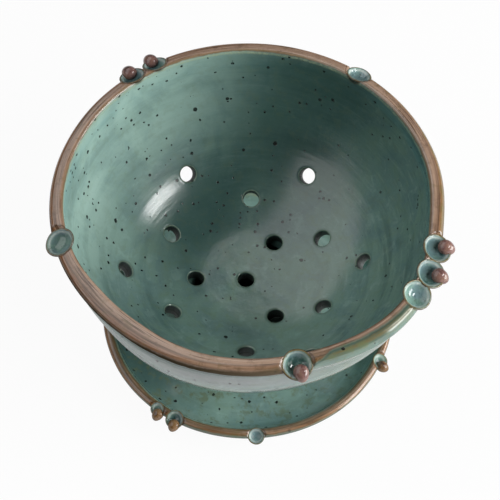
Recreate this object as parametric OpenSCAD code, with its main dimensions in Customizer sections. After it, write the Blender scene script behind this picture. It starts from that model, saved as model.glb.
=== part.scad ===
// Berry colander bowl on its saucer, in glazed stoneware.
// The bowl is thrown as one section and drilled. It stands on a luted foot ring inside the saucer.
// Small pressed cups, some holding an egg-shaped bead, are set into the lip of both pieces.
// Origin: on the table under the middle of the saucer. +Z is up, and the photographed front is -Y.

/* [Bowl] */
// Diameter over the lip, without the cups
bowl_d = 165; // [150:1:180]
// Height of the bowl alone, from its foot to the top of the lip
bowl_h = 95; // [90:0.5:104]
// Depth inside, from the top of the lip to the floor
bowl_depth = 64.4; // [60:0.2:68]
// Radius of the flat middle of the floor
floor_flat_r = 14; // [10:0.5:17]
// Thickness of the floor
floor_t = 6; // [5:0.1:7]
// Thickness of the wall under the lip
wall_t = 5; // [4.4:0.1:5.4]

/* [Lip] */
// Width of the lip, from the mouth to its widest point
lip_w = 6.2; // [5.4:0.1:7.4]
// Height of the big outer roll
lip_h = 8.4; // [7.4:0.1:9.6]
// Width of the small inner roll
inner_roll_w = 3.4; // [2.6:0.1:3.8]
// Depth of the groove between the two rolls
groove_depth = 0.75; // [0.4:0.05:1]

/* [Drain holes] */
// Diameter of a drain hole
hole_d = 7; // [5:0.1:8]

/* [Foot ring] */
// Radius of the foot where it stands
foot_r = 33; // [31:0.5:35]
// Width of the foot's wall
foot_t = 5.5; // [4.5:0.1:7]
// How far the foot draws in above its base
foot_waist = 2; // [1:0.1:3]
// Rounded-off edge at the base of the foot
foot_bevel = 0.8; // [0.4:0.1:1.2]

/* [Saucer] */
// Diameter of the saucer over its rim, without the cups
saucer_d = 130; // [122:1:140]
// Height of the saucer
saucer_h = 15.6; // [14.6:0.1:17]
// Thickness of the saucer's floor
saucer_floor_t = 5; // [4.4:0.1:5.6]
// Thickness of the saucer's wall
saucer_wall_t = 3.8; // [3.2:0.1:4.4]
// Height of the trimmed foot under the saucer
saucer_foot_h = 3.5; // [2.5:0.1:4]
// Radius of the saucer's foot
saucer_foot_r = 45; // [41:0.5:48]
// Width of the saucer's foot
saucer_foot_w = 6; // [4:0.5:8]
// Thickness of the roll on the saucer's rim
saucer_roll_d = 4.2; // [3.6:0.1:4.6]
// Radial width of the curve from the saucer's floor up to its rim
saucer_cove_w = 8.5; // [7:0.5:10]

/* [Cups on the lip] */
// Width of a cup on the bowl
cup_d = 13.2; // [11:0.1:14]
// Depth of a cup outside
cup_depth = 4.4; // [3.8:0.1:5]
// Thickness of a cup
cup_t = 1.2; // [1:0.1:1.5]
// Width of a cup on the saucer
small_cup_d = 7.6; // [6.4:0.1:8.4]
// Depth of a saucer cup outside
small_cup_depth = 2.6; // [2.3:0.1:3]
// Thickness of a saucer cup
small_cup_t = 0.9; // [0.8:0.05:1.1]
// How far the cups lean outward, in degrees
cup_lean = 25; // [18:1:32]
// How far the middle of a bowl cup's mouth lies under the top of the lip
cup_drop = 2.5; // [1.8:0.1:3]
// How far the middle of a saucer cup's mouth lies under the top of the rim
small_cup_drop = 1.6; // [1:0.1:2]

/* [Beads] */
// Thickness of a bead on the bowl
bead_d = 6.3; // [5.4:0.1:6.8]
// Length of a bead on the bowl
bead_len = 7.6; // [6.6:0.1:8.4]
// Thickness of a bead on the saucer
small_bead_d = 4.9; // [4.2:0.1:5.2]
// Length of a bead on the saucer
small_bead_len = 5.7; // [5:0.1:6.2]

/* [Hidden] */
// Levels, from the table up
seat_z = saucer_foot_h + saucer_floor_t;
lip_z = seat_z + bowl_h;
floor_z = lip_z - bowl_depth;

// The bowl's inside is a quarter ellipse from the edge of the flat floor to the mouth
bowl_r = bowl_d / 2;
mouth_r = bowl_r - lip_w;
bowl_run = mouth_r - floor_flat_r;
wall_steps = 16;
inner_end = 86;
outer_end = 81;

// The lip's outer roll is an ellipse standing in the lip, beside the small inner roll
inner_roll_r = inner_roll_w / 2;
// Half the outer roll's width as a share of the lip outside the groove: the wall hides the rest
outer_roll_share = 0.85;
outer_roll_a = (lip_w - inner_roll_w) * outer_roll_share;
outer_roll_b = lip_h / 2;
outer_roll_r = bowl_r - outer_roll_a;
outer_roll_drop = inner_roll_r / 5;
roll_steps = 9;

// Saucer
saucer_r = saucer_d / 2;
saucer_roll_r = saucer_roll_d / 2;
saucer_rim_r = saucer_r - saucer_roll_d - saucer_roll_r / 3;
saucer_flat_r = saucer_rim_r - saucer_cove_w;
saucer_cove_h = saucer_h - seat_z - saucer_roll_r;
cove_steps = 6;
saucer_roll_steps = 8;

// Drain holes: one in the middle, then rings of 3, 6 and 6, drilled by eye
hole_turns = [
    [0],
    [58, 180, 302],
    [29, 88, 149, 211, 269, 333],
    [2, 60, 120, 184, 241, 300]
];
hole_reach_shares = [
    [0],
    [0.287, 0.298, 0.296],
    [0.489, 0.508, 0.511, 0.494, 0.522, 0.477],
    [0.655, 0.686, 0.695, 0.693, 0.69, 0.68]
];
drill_h = 3 * floor_t;
// Where the seam of a turned piece lies, between the holes and between the cups
seam_turn = 15;

// Cups round the bowl's lip: turn, size and how far out each one sits
bowl_cup_turns = [53.7, 119.6, 127.7, 194.9, 284.1, 326.3, 334.4, 343.1];
bowl_cup_size_shares = [0.88, 0.85, 0.9, 1.01, 1, 1, 1.01, 1.01];
bowl_cup_reach_shares = [0.981, 0.989, 0.989, 0.97, 0.981, 1.001, 1.004, 0.985];
// Beads of the bowl: the cup that holds each, its turn beside the cup's and how far out it sits
bowl_bead_at = [1, 2, 4, 6, 7];
bowl_bead_turns = [0, -0.7, 0.6, 1.2, 2];
bowl_bead_out_shares = [0.86, 0.76, 0.56, 0.64, 0.62];

// Cups round the saucer's rim
saucer_cup_turns = [26, 84, 92.5, 152, 232.2, 240.4, 273.2, 335.2];
saucer_cup_size_shares = [1, 1.08, 0.88, 1.02, 0.86, 1.12, 1, 0.98];
saucer_cup_reach_shares = [0.99, 0.988, 0.99, 0.986, 0.99, 0.992, 0.99, 0.988];
// Beads of the saucer
saucer_bead_at = [1, 3, 4, 5, 7];
saucer_bead_turns = [0.6, -0.8, 1.2, 0.6, -1.2];
saucer_bead_out_shares = [0.62, 0.6, 0.66, 0.62, 0.64];

bowl_cups = len(bowl_cup_turns);
saucer_cups = len(saucer_cup_turns);
bowl_beads = len(bowl_bead_at);
saucer_beads = len(saucer_bead_at);
$fn = 96;

// A bead's middle lies a little under the mouth of its cup
bead_sink_share = 0.14;

// Glaze and clay
glaze = "#6f9088";
pale_glaze = "#9cb3b0";
iron_brown = "#7a5c48";
bead_brown = "#6b4a40";

// Point of the bowl's inner curve at an angle from 0, at the floor, to 90, at the mouth
function bowl_inner(a) = [
    floor_flat_r + bowl_run * sin(a),
    floor_z + bowl_depth * (1 - cos(a))
];

// Point a thickness t outside an ellipse with half axes w and h, at the same angle
function outside(p, a, w, h, t) =
    p + t * [h * sin(a), -w * cos(a)] / norm([h * sin(a), w * cos(a)]);

// The wall thins evenly from the floor to the lip
function bowl_outer(a) = outside(
    bowl_inner(a), a, bowl_run, bowl_depth,
    floor_t + (wall_t - floor_t) * sin(a) * sin(a)
);

// Points along an ellipse with half axes a and b round [x, y]
function roll(x, y, a, b, from, to, steps) = [
    for (i = [0:steps])
        let (t = from + (to - from) * i / steps)
        [x + a * cos(t), y + b * sin(t)]
];

function bowl_section() = concat(
    [[0, floor_z]],
    [for (i = [0:wall_steps]) bowl_inner(inner_end * i / wall_steps)],
    roll(mouth_r + inner_roll_r, lip_z - inner_roll_r, inner_roll_r, inner_roll_r, 165, 60, 4),
    [[mouth_r + inner_roll_w, lip_z - groove_depth]],
    roll(outer_roll_r, lip_z - outer_roll_drop - outer_roll_b, outer_roll_a, outer_roll_b,
         97, -58, roll_steps),
    [for (i = [wall_steps:-1:0]) bowl_outer(outer_end * i / wall_steps)],
    [[0, floor_z - floor_t]]
);

function cove_inner(a) = [
    saucer_flat_r + saucer_cove_w * sin(a),
    seat_z + saucer_cove_h * (1 - cos(a))
];

function cove_outer(a) = outside(
    cove_inner(a), a, saucer_cove_w, saucer_cove_h,
    saucer_floor_t + (saucer_wall_t - saucer_floor_t) * sin(a)
);

function saucer_outline() = concat(
    [[0, seat_z]],
    [for (i = [0:cove_steps]) cove_inner(80 * i / cove_steps)],
    roll(saucer_r - saucer_roll_r, saucer_h - saucer_roll_r, saucer_roll_r, saucer_roll_r,
         150, -30, saucer_roll_steps),
    [for (i = [cove_steps:-1:0]) cove_outer(72 * i / cove_steps)],
    [
        [saucer_foot_r, saucer_foot_h],
        [saucer_foot_r, foot_bevel],
        [saucer_foot_r - foot_bevel, 0],
        [saucer_foot_r - saucer_foot_w + foot_bevel, 0],
        [saucer_foot_r - saucer_foot_w, foot_bevel],
        [saucer_foot_r - saucer_foot_w, saucer_foot_h],
        [0, saucer_foot_h]
    ]
);

// The foot draws in to a waist and spreads again under the bowl, which cuts it off
function foot_section() = [
    [foot_r - foot_bevel, seat_z],
    [foot_r, seat_z + foot_bevel],
    [foot_r - foot_waist / 2, seat_z + (floor_z - seat_z) / 5],
    [foot_r - foot_waist, seat_z + (floor_z - seat_z) / 2],
    [foot_r - foot_waist / 2, floor_z - floor_t],
    [foot_r, floor_z],
    [foot_r - foot_t - foot_waist, floor_z],
    [foot_r - foot_t - foot_waist, floor_z - floor_t],
    [foot_r - foot_t - foot_waist / 2, seat_z + (floor_z - seat_z) / 2],
    [foot_r - foot_t, seat_z + foot_bevel],
    [foot_r - foot_t + foot_bevel, seat_z]
];

// Turns a section on the wheel
module turned() {
    rotate([0, 0, seam_turn])
        rotate_extrude()
            children();
}

// Places what follows on a rim, leaning outward, with its own +Z out of the cup's mouth
module on_rim(turn, reach, level) {
    rotate([0, 0, turn])
        translate([reach, 0, level])
            rotate([0, cup_lean, 0])
                children();
}

// A ball whose slice, r wide at the mouth and h deep, is the outside of a cup
function ball_r(r, h) = (r * r + h * h) / (2 * h);

module ball(r, h) {
    translate([0, 0, ball_r(r, h) - h])
        sphere(ball_r(r, h));
}

// A shallow cup, r wide outside, h deep outside and t thick
module cup(r, h, t) {
    difference() {
        ball(r, h);
        ball(r - t, h - t);
        cylinder(r = 2 * r, h = 3 * r);
    }
}

// An egg turned about X: blunt in the cup, and finer where it stands out of it
module egg(d, l) {
    steps = 9;
    rotate([0, 90, 0])
        rotate_extrude()
            polygon([
                for (i = [0:steps])
                    let (a = 180 * i / steps)
                    [max(0, d / 2 * sin(a) * (1 + cos(a) / 7)), -l / 2 * cos(a)]
            ]);
}

module bowl_cup_place(i) {
    on_rim(bowl_cup_turns[i], bowl_r * bowl_cup_reach_shares[i], lip_z - cup_drop)
        children();
}

module saucer_cup_place(i) {
    on_rim(saucer_cup_turns[i], saucer_r * saucer_cup_reach_shares[i], saucer_h - small_cup_drop)
        children();
}

function bowl_cup_r(i) = cup_d / 2 * bowl_cup_size_shares[i];
function saucer_cup_r(i) = small_cup_d / 2 * saucer_cup_size_shares[i];

module bowl_egg(k) {
    i = bowl_bead_at[k];
    rotate([0, 0, bowl_bead_turns[k]])
        bowl_cup_place(i)
            translate([bowl_cup_r(i) * bowl_bead_out_shares[k], 0, -bead_d * bead_sink_share])
                egg(bead_d, bead_len);
}

module saucer_egg(k) {
    i = saucer_bead_at[k];
    rotate([0, 0, saucer_bead_turns[k]])
        saucer_cup_place(i)
            translate([
                saucer_cup_r(i) * saucer_bead_out_shares[k], 0, -small_bead_d * bead_sink_share
            ])
                egg(small_bead_d, small_bead_len);
}

// A hole is drilled square to the wall, from the inside
module drill(turn, reach) {
    lean = asin(max(0, reach - floor_flat_r) / bowl_run);
    start = reach > floor_flat_r ? bowl_inner(lean) : [reach, floor_z];
    slope = reach > floor_flat_r ? atan2(bowl_depth * sin(lean), bowl_run * cos(lean)) : 0;
    rotate([0, 0, turn])
        translate([start[0], 0, start[1]])
            rotate([0, -slope, 0])
                cylinder(d = hole_d, h = drill_h, center = true);
}

module colander_bowl() {
    color(glaze)
        difference() {
            turned()
                polygon(bowl_section());
            for (ring = [0:len(hole_turns) - 1], i = [0:len(hole_turns[ring]) - 1])
                drill(hole_turns[ring][i], mouth_r * hole_reach_shares[ring][i]);
            for (i = [0:bowl_cups - 1])
                bowl_cup_place(i)
                    ball(bowl_cup_r(i), cup_depth * bowl_cup_size_shares[i]);
            for (k = [0:bowl_beads - 1])
                bowl_egg(k);
        }
}

module bowl_foot_ring() {
    color(glaze)
        turned()
            difference() {
                polygon(foot_section());
                polygon(bowl_section());
            }
}

// Each cup makes room for its own bead and for the cup after it, where the two crowd together
module bowl_cup(i) {
    color(pale_glaze)
        difference() {
            bowl_cup_place(i)
                cup(bowl_cup_r(i), cup_depth * bowl_cup_size_shares[i], cup_t);
            if (i < bowl_cups - 1)
                bowl_cup_place(i + 1)
                    ball(bowl_cup_r(i + 1), cup_depth * bowl_cup_size_shares[i + 1]);
            for (k = [0:bowl_beads - 1])
                if (bowl_bead_at[k] == i)
                    bowl_egg(k);
        }
}

module bowl_bead(k) {
    color(bead_brown)
        bowl_egg(k);
}

module saucer() {
    color(glaze)
        difference() {
            turned()
                polygon(saucer_outline());
            for (i = [0:saucer_cups - 1])
                saucer_cup_place(i)
                    ball(saucer_cup_r(i), small_cup_depth * saucer_cup_size_shares[i]);
            for (k = [0:saucer_beads - 1])
                saucer_egg(k);
        }
}

module saucer_cup(i) {
    color(pale_glaze)
        difference() {
            saucer_cup_place(i)
                cup(saucer_cup_r(i), small_cup_depth * saucer_cup_size_shares[i], small_cup_t);
            if (i < saucer_cups - 1)
                saucer_cup_place(i + 1)
                    ball(saucer_cup_r(i + 1), small_cup_depth * saucer_cup_size_shares[i + 1]);
            for (k = [0:saucer_beads - 1])
                if (saucer_bead_at[k] == i)
                    saucer_egg(k);
        }
}

module saucer_bead(k) {
    color(iron_brown)
        saucer_egg(k);
}

saucer();
colander_bowl();
bowl_foot_ring();
for (i = [1:bowl_cups])
    bowl_cup(i - 1);
for (i = [1:bowl_beads])
    bowl_bead(i - 1);
for (i = [1:saucer_cups])
    saucer_cup(i - 1);
for (i = [1:saucer_beads])
    saucer_bead(i - 1);
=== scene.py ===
"""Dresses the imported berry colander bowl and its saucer: thrown forms, glaze, floor, light, camera."""

import math
from types import SimpleNamespace

import bmesh
import bpy
import numpy as np
from bpy.props import FloatProperty, FloatVectorProperty, PointerProperty
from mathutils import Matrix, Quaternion, Vector
from mathutils.geometry import delaunay_2d_cdt


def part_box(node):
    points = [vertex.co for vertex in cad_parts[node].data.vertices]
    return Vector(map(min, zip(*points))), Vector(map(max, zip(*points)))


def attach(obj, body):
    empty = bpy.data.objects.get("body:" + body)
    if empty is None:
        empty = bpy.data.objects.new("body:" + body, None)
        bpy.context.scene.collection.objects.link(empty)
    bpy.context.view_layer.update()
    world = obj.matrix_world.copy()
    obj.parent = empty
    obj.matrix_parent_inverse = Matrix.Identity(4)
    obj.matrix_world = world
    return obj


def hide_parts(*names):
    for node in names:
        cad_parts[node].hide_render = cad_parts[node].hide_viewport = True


bl_info = {
    "name": "Berry Colander Bowl",
    "version": (1, 0, 0),
    "blender": (4, 5, 0),
    "location": "View3D > Sidebar > Pottery",
    "description": "Throws, glazes and lights a berry colander bowl on its saucer",
    "category": "Object",
}

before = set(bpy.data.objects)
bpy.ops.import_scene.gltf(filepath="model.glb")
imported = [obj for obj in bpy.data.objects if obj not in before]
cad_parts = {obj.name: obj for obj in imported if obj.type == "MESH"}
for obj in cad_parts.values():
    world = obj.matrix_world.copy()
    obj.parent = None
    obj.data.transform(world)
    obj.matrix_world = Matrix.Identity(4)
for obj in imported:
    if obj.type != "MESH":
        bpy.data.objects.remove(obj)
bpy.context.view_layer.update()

MM = 0.001

# Levels above the table, in mm
LIP_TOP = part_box("colander_bowl")[1].z / MM
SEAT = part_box("bowl_foot_ring")[0].z / MM
SAUCER_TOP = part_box("saucer")[1].z / MM

# Places of the cups: turn in degrees, share of full size, reach from the axis in mm
BOWL_CUPS = [
    (53.7, 0.88, 80.93), (119.6, 0.85, 81.59), (127.7, 0.90, 81.59), (194.9, 1.01, 80.03),
    (284.1, 1.00, 80.93), (326.3, 1.00, 82.58), (334.4, 1.01, 82.83), (343.1, 1.01, 81.26),
]
SAUCER_CUPS = [
    (26.0, 1.00, 64.35), (84.0, 1.08, 64.22), (92.5, 0.88, 64.35), (152.0, 1.02, 64.09),
    (232.2, 0.86, 64.35), (240.4, 1.12, 64.48), (273.2, 1.00, 64.35), (335.2, 0.98, 64.22),
]
# How far the mouth of a cup lies under the top of the rim, and how far the cup bites into the rim, in mm
BOWL_CUP_SUNK, BOWL_CUP_BITE = 2.5, 0.35
SAUCER_CUP_SUNK, SAUCER_CUP_BITE = 1.6, 0.25
NEXT_CUP_BITE = 0.25
# Places of the beads: the cup that holds each, its turn beside the cup's, share of the way out
BOWL_BEADS = [(1, 0.0, 0.86), (2, -0.7, 0.76), (4, 0.6, 0.56), (6, 1.2, 0.64), (7, 2.0, 0.62)]
SAUCER_BEADS = [(1, 0.6, 0.62), (3, -0.8, 0.60), (4, 1.2, 0.66), (5, 0.6, 0.62), (7, -1.2, 0.64)]

# Drain holes: turn in degrees and reach from the axis as a share of the mouth's radius
DRAIN_HOLES = [
    (180, 0.01101), (58, 0.287), (180, 0.298), (302, 0.296),
    (29, 0.489), (88, 0.508), (149, 0.511), (211, 0.494), (269, 0.522), (333, 0.477),
    (2, 0.655), (60, 0.686), (120, 0.695), (184, 0.693), (241, 0.69), (300, 0.68),
]
# Rings of points round a hole: mm past its rounded edge, and the edge that is painted there
HOLE_RINGS = [(0.0, 0.45), (0.9, 0.1), (2.1, 0.0)]
# How far past a hole's edge the even points of the floor begin, and the gap between them, in mm
HOLE_CLEAR, FLOOR_GAP = 3.1, 1.5
# How far out the drilled middle of the inner wall reaches, and how much further the outer wall's, in mm
DRILLED_TO, DRILLED_OUTSIDE = 61.0, 2.0
# Gap between a drilled middle and the first row of the wall, in mm
FIRST_ROW = 1.4
# Points of the two walls' lines next to the lip, which the drilled middles leave out
INNER_SPARE, OUTER_SPARE = 40, 120
# Points round the axis
POT_POINTS, FOOT_POINTS, CUP_POINTS, BEAD_POINTS = 480, 240, 72, 48

# Unevenness of the thrown bowl: mm outward at the lip, turn and half width in degrees
BOWL_PUSHES = [(3.0, 318, 17), (-0.6, 225, 15), (-1.2, 353, 9)]
# Patches of painted shade and painted light on the glaze: strength, turn and half width in degrees, mm past
# the lip's crest and half width
PAINTED_SHADE_PATCHES = [
    (1.0, 72, 29, -38, 24), (0.5, 66, 20, -9, 9), (0.8, 135, 42, -86, 13),
    (0.7, 125, 26, -66, 12), (0.4, 345, 50, -35, 30), (0.3, 216, 17, -52, 20),
]
PAINTED_LIGHT_PATCHES = [(1.0, 115, 27, -18, 23), (0.9, 176, 34, -26, 28), (0.45, 282, 26, -62, 20)]

# Index of refraction, which sets how strongly the glazes mirror
POT_IOR, CUP_IOR = 1.75, 1.65

# Lights: azimuth and elevation in degrees, distance, width and height in m, roll in degrees, and
# whether the glaze mirrors it
LIGHTS = {
    "key": (350, 38, 0.9, 0.40, 0.10, -16, True),
    "side": (352, 9, 1.2, 1.00, 0.36, 0, True),
    "wall": (330, 27, 1.2, 0.80, 0.60, 0, False),
    "back": (170, 52, 1.0, 2.00, 1.00, -24, True),
}
# What the lights turn to, in m
LIGHTS_AIM = Vector((0.0, 0.0, 0.06))

# The camera: width of the picture, scale in the middle of the view, and that middle in m
PICTURE_PIXELS = 500
PIXELS_PER_MM = 2.3296
SENSOR_WIDTH = 36.0
VIEW_MIDDLE = Vector((0.00091, 0.0, LIP_TOP * MM - 0.04078))

WHITE = (1.0, 1.0, 1.0)
PAPER = (0.85, 0.85, 0.85)


# Settings


def length(name, description, mm):
    """A length setting, written in millimetres and held in metres."""
    return FloatProperty(name=name, description=description, default=mm * MM, min=0.0, precision=4,
                         unit="LENGTH")


def colour(name, description, shade):
    """A colour setting, written as it looks on screen."""
    return FloatVectorProperty(name=name, description=description, default=shade, size=3,
                               min=0.0, max=1.0, subtype="COLOR_GAMMA")


def power(name, description, watts):
    """The power of a light."""
    return FloatProperty(name=name, description=description, default=watts, min=0.0, unit="POWER")


class ColanderSizes(bpy.types.PropertyGroup):
    """Sizes of the pieces, as they are in the solids."""

    bowl_radius: length("Bowl radius", "From the axis to the widest point of the lip", 82.5)
    bowl_depth: length("Inside depth", "From the top of the lip to the floor", 64.4)
    floor_radius: length("Flat floor", "Radius of the flat middle of the floor", 14.0)
    floor_thickness: length("Floor thickness", "Thickness of the middle of the floor", 6.0)
    wall_thickness: length("Wall thickness", "Thickness of the wall under the lip", 5.0)
    lip_width: length("Lip width", "From the mouth to the widest point of the lip", 6.2)
    inner_roll: length("Inner roll", "Width of the small roll beside the mouth", 3.4)
    foot_radius: length("Foot radius", "Outside radius of the foot ring where it stands", 33.0)
    foot_width: length("Foot width", "Thickness of the foot ring where it stands", 5.5)
    hole_radius: length("Hole radius", "Radius of a drain hole", 3.5)
    hole_edge: length("Hole edge", "Rounding of a drain hole's edges", 0.8)
    saucer_radius: length("Saucer radius", "From the axis to the outside of the rim", 65.0)
    saucer_foot_radius: length("Saucer foot", "Outside radius of the saucer's foot", 45.0)
    saucer_foot_width: length("Saucer foot width", "Width of the saucer's foot", 6.0)
    cup_radius: length("Cup radius", "Outside radius of a cup on the bowl", 6.6)
    cup_depth: length("Cup depth", "Outside depth of a cup on the bowl", 4.4)
    cup_wall: length("Cup wall", "Thickness of a cup on the bowl", 1.2)
    small_cup_radius: length("Small cup radius", "Outside radius of a cup on the saucer", 3.8)
    small_cup_depth: length("Small cup depth", "Outside depth of a cup on the saucer", 2.6)
    small_cup_wall: length("Small cup wall", "Thickness of a cup on the saucer", 0.9)
    cup_lean: FloatProperty(name="Cup lean", description="Angle by which the cups lean outward",
                            default=math.radians(25.0), subtype="ANGLE")
    bead_thickness: length("Bead thickness", "Thickness of a bead on the bowl", 6.3)
    bead_length: length("Bead length", "Length of a bead on the bowl", 7.6)
    small_bead_thickness: length("Small bead thickness", "Thickness of a bead on the saucer", 4.9)
    small_bead_length: length("Small bead length", "Length of a bead on the saucer", 5.7)


class ColanderGlazes(bpy.types.PropertyGroup):
    """Colours of the glazes and of the clay, and of the painted light, shade and reflection on them."""

    sea_green: colour("Sea green", "Most of the glaze", (0.465, 0.59, 0.54))
    # Pale green is also laid as painted light on the lit walls
    pale_green_and_light: colour("Pale green", "Glaze where it runs thin over the throwing rings", (0.63, 0.75, 0.71))
    # Deep green is also laid as painted shade: on the walls where light falls least, under the lip's roll, in
    # and round the drain holes, in the cups' hollows and low on the beads
    deep_green_and_shade: colour("Deep green", "Glaze where it lies thick", (0.165, 0.29, 0.275))
    moss_green: colour("Moss green", "Small green clouds in the glaze", (0.44, 0.55, 0.44))
    grey_blue: colour("Grey blue", "Cloudy patches of the glaze", (0.42, 0.54, 0.53))
    blue_green: colour("Blue green", "Glaze near the lip", (0.37, 0.575, 0.595))
    # Painted reflection of the white table on the outer wall under the front of the lip
    reflection_grey: colour("Rutile grey", "Milky glaze under the front of the lip", (0.60, 0.605, 0.61))
    olive: colour("Olive", "Glaze that lies thin over iron", (0.40, 0.44, 0.31))
    # Cream line is also laid as a painted highlight on the rounded edges of the drain holes
    cream_line_and_highlight: colour("Cream line", "Thin pale line where the green meets the brown", (0.62, 0.66, 0.54))
    lip_pink: colour("Lip pink brown", "Top of the lip", (0.54, 0.425, 0.345))
    # Lip pale brown is also laid as painted highlights along the lip
    lip_pale_and_highlight: colour("Lip pale brown", "Fine pale lines along the lip", (0.73, 0.625, 0.545))
    lip_brown: colour("Lip brown", "Outer roll of the lip", (0.59, 0.4, 0.25))
    # Lip dark brown is also laid as painted shade under the lip's roll
    lip_dark: colour("Lip dark brown", "Groove and edges of the brown", (0.25, 0.17, 0.105))
    olive_brown: colour("Olive brown", "Green showing through the brown", (0.44, 0.385, 0.235))
    rim_gold: colour("Rim gold", "Top of the saucer's rim", (0.44, 0.345, 0.25))
    # Painted shade under the lip's roll
    lip_shade: colour("Rim black", "Thick brown under the lip", (0.15, 0.12, 0.065))
    cup_blue: colour("Cup blue", "Inside of the cups", (0.44, 0.54, 0.555))
    # Cup rim is also laid as a painted highlight inside a cup's rim
    cup_rim_and_highlight: colour("Cup rim", "Glaze pooled white inside a cup's rim", (0.78, 0.82, 0.79))
    bead_brown: colour("Bead brown", "Beads on the bowl", (0.48, 0.355, 0.335))
    bead_gold: colour("Bead gold", "Beads on the saucer", (0.50, 0.38, 0.24))
    bead_dark: colour("Bead dark", "Dark clouds on the beads", (0.24, 0.14, 0.13))
    bare_clay: colour("Bare clay", "Unglazed stoneware", (0.66, 0.57, 0.47))
    # Painted shade in the drain holes
    hole_shade: colour("Hole green", "Walls of the drain holes", (0.09, 0.12, 0.11))
    speck: colour("Iron speck", "Specks burnt through the glaze", (0.06, 0.09, 0.075))


class StudioSettings(bpy.types.PropertyGroup):
    """Lights and camera."""

    key_power: power("Key light", "Strip light on the right, the bright streak in the glaze", 2.0)
    side_power: power("Side light", "Wide soft box low on the right", 10.0)
    wall_power: power("Wall light", "Light that shapes the left wall, without shine", 9.2)
    back_power: power("Back light", "Wide light behind and above, on the left", 7.2)
    fill_strength: FloatProperty(name="Surroundings", description="Strength of the white surroundings",
                                 default=0.05, min=0.0)
    camera_height: FloatProperty(name="Camera elevation", description="Angle above the table",
                                 default=math.radians(57.44), subtype="ANGLE")
    camera_distance: FloatProperty(name="Camera distance", description="From the middle of the view",
                                   default=1.0, min=0.1, unit="LENGTH")


def sizes():
    """The sizes, with lengths in millimetres and the lean of the cups in radians."""
    held = bpy.context.scene.colander_sizes
    found = {key: round(getattr(held, key) / MM, 4) for key in ColanderSizes.__annotations__}
    found["cup_lean"] = held.cup_lean
    return SimpleNamespace(**found)


def glazes():
    return bpy.context.scene.colander_glazes


def studio():
    return bpy.context.scene.colander_studio


# Shader maths


class Wire:
    """One output of a node, which can be added, multiplied and compared like a number."""

    def __init__(self, recipe, socket):
        self.recipe = recipe
        self.socket = socket

    def also(self, output):
        """Another output of the same node."""
        return Wire(self.recipe, self.socket.node.outputs[output])

    def maths(self, operation, *values):
        return self.recipe.node("ShaderNodeMath", {"operation": operation}, *values)

    def __add__(self, other):
        return self.maths("ADD", self, other)

    __radd__ = __add__

    def __sub__(self, other):
        return self.maths("SUBTRACT", self, other)

    def __rsub__(self, other):
        return self.maths("SUBTRACT", other, self)

    def __mul__(self, other):
        return self.maths("MULTIPLY", self, other)

    __rmul__ = __mul__

    def __lt__(self, other):
        return self.maths("LESS_THAN", self, other)

    def __gt__(self, other):
        """The reflected form of <."""
        return self.maths("GREATER_THAN", self, other)

    def most(self, other):
        return self.maths("MAXIMUM", self, other)

    def size(self):
        return self.maths("ABSOLUTE", self)


class NodeRecipe:
    """Builds the nodes of one material or world."""

    def __init__(self, holder):
        self.holder = holder
        holder.use_nodes = True
        self.tree = holder.node_tree
        self.tree.nodes.clear()

    def node(self, kind, settings=None, *values, sockets=None, give=0, **named):
        """Adds a node, sets it up, then feeds its sockets by place, by number or by name."""
        made = self.tree.nodes.new(kind)
        for key, value in (settings or {}).items():
            setattr(made, key, value)
        fed = {**dict(enumerate(values)), **(sockets or {}),
               **{key.replace("_", " "): value for key, value in named.items()}}
        for place, value in fed.items():
            socket = made.inputs[place]
            if isinstance(value, Wire):
                self.tree.links.new(value.socket, socket)
            elif socket.type == "RGBA":
                socket.default_value = (*value, 1.0)
            else:
                socket.default_value = value
        return Wire(self, made.outputs[give]) if made.outputs else None

    def place(self):
        """Position on the piece, in millimetres."""
        return self.scaled(self.node("ShaderNodeTexCoord", give="Object"), 1 / MM)

    def vector(self, operation, *values, **named):
        return self.node("ShaderNodeVectorMath", {"operation": operation}, *values, **named)

    def scaled(self, vector, factor):
        return self.vector("SCALE", vector, Scale=factor)

    def stretched(self, vector, factors):
        return self.vector("MULTIPLY", vector, factors)

    def shifted(self, vector, offset):
        return self.vector("ADD", vector, offset)

    def painted(self, name):
        """A number stored on the mesh."""
        return self.node("ShaderNodeAttribute", {"attribute_name": name}, give="Fac")

    def noise(self, vector, size_mm, detail=3.0, rough=0.55, distort=0.0):
        return self.node("ShaderNodeTexNoise", None, Vector=vector, Scale=1.0 / size_mm, Detail=detail,
                         Roughness=rough, Distortion=distort, give="Fac")

    def step(self, value, low, high):
        """Goes smoothly from 0 at low to 1 at high."""
        return self.node("ShaderNodeMapRange", {"interpolation_type": "SMOOTHSTEP"}, value, low, high,
                         0.0, 1.0)

    def band(self, value, middle, half, soft):
        """1 within half of the middle, with soft edges."""
        return self.step((value - middle).size(), half + soft, half - soft)

    def mix(self, share, a, b):
        """Mixes two colours."""
        return self.node("ShaderNodeMix", {"data_type": "RGBA"}, sockets={0: share, 6: a, 7: b}, give=2)

    def coats(self, shade, *layers):
        """Lays colours over a shade one after the other. Each layer is its share and its colour."""
        for share, over in layers:
            shade = self.mix(share, shade, linear(over))
        return shade

    def bump(self, height, distance_mm, strength, normal=None):
        under = {"Normal": normal} if normal else {}
        return self.node("ShaderNodeBump", None, Strength=strength, Distance=distance_mm * MM, Height=height,
                         give="Normal", **under)

    def glossy(self, shade, rough, normal, ior):
        return self.node("ShaderNodeBsdfPrincipled", None, Base_Color=shade, Roughness=rough, Normal=normal,
                         IOR=ior)

    def finish(self, shader):
        """Joins a shader to the output, and gives back the material or world."""
        kind = "World" if isinstance(self.holder, bpy.types.World) else "Material"
        self.node(f"ShaderNodeOutput{kind}", None, Surface=shader)
        return self.holder


def linear(shade):
    """The light value of a colour written as it looks on screen."""
    return tuple(c / 12.92 if c <= 0.04045 else ((c + 0.055) / 1.055) ** 2.4 for c in shade)


# Glazes. Lengths in mm


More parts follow.
